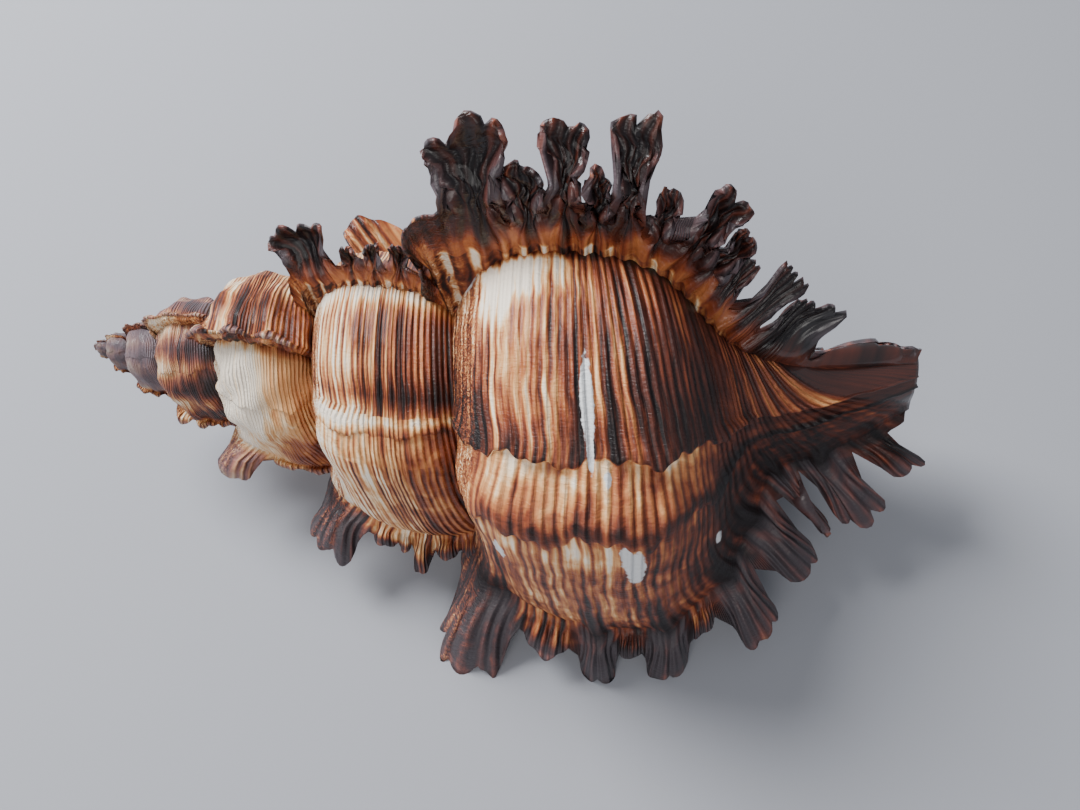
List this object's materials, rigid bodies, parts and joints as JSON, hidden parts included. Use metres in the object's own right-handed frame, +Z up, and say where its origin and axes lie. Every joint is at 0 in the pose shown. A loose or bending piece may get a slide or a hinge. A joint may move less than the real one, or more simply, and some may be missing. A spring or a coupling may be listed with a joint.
{
  "type": "murex shell",
  "caption": "Spired sea shell with frilled, spiny ribs, an egg-shaped aperture and a long canal, lying on its aperture.",
  "frame": {"origin": "on the surface it lies on, under the middle of its box", "axes": "+X along the shell towards the canal tip, +Y away from the lip, +Z up"},
  "size_m": [0.0946, 0.053, 0.0497],
  "materials": {
    "shell": "semi-gloss shell: cream and orange-brown with dark spiral bands, dark fronds"
  },
  "bodies": {
    "root": {"murex_shell": "shell"}
  },
  "joints": []
}
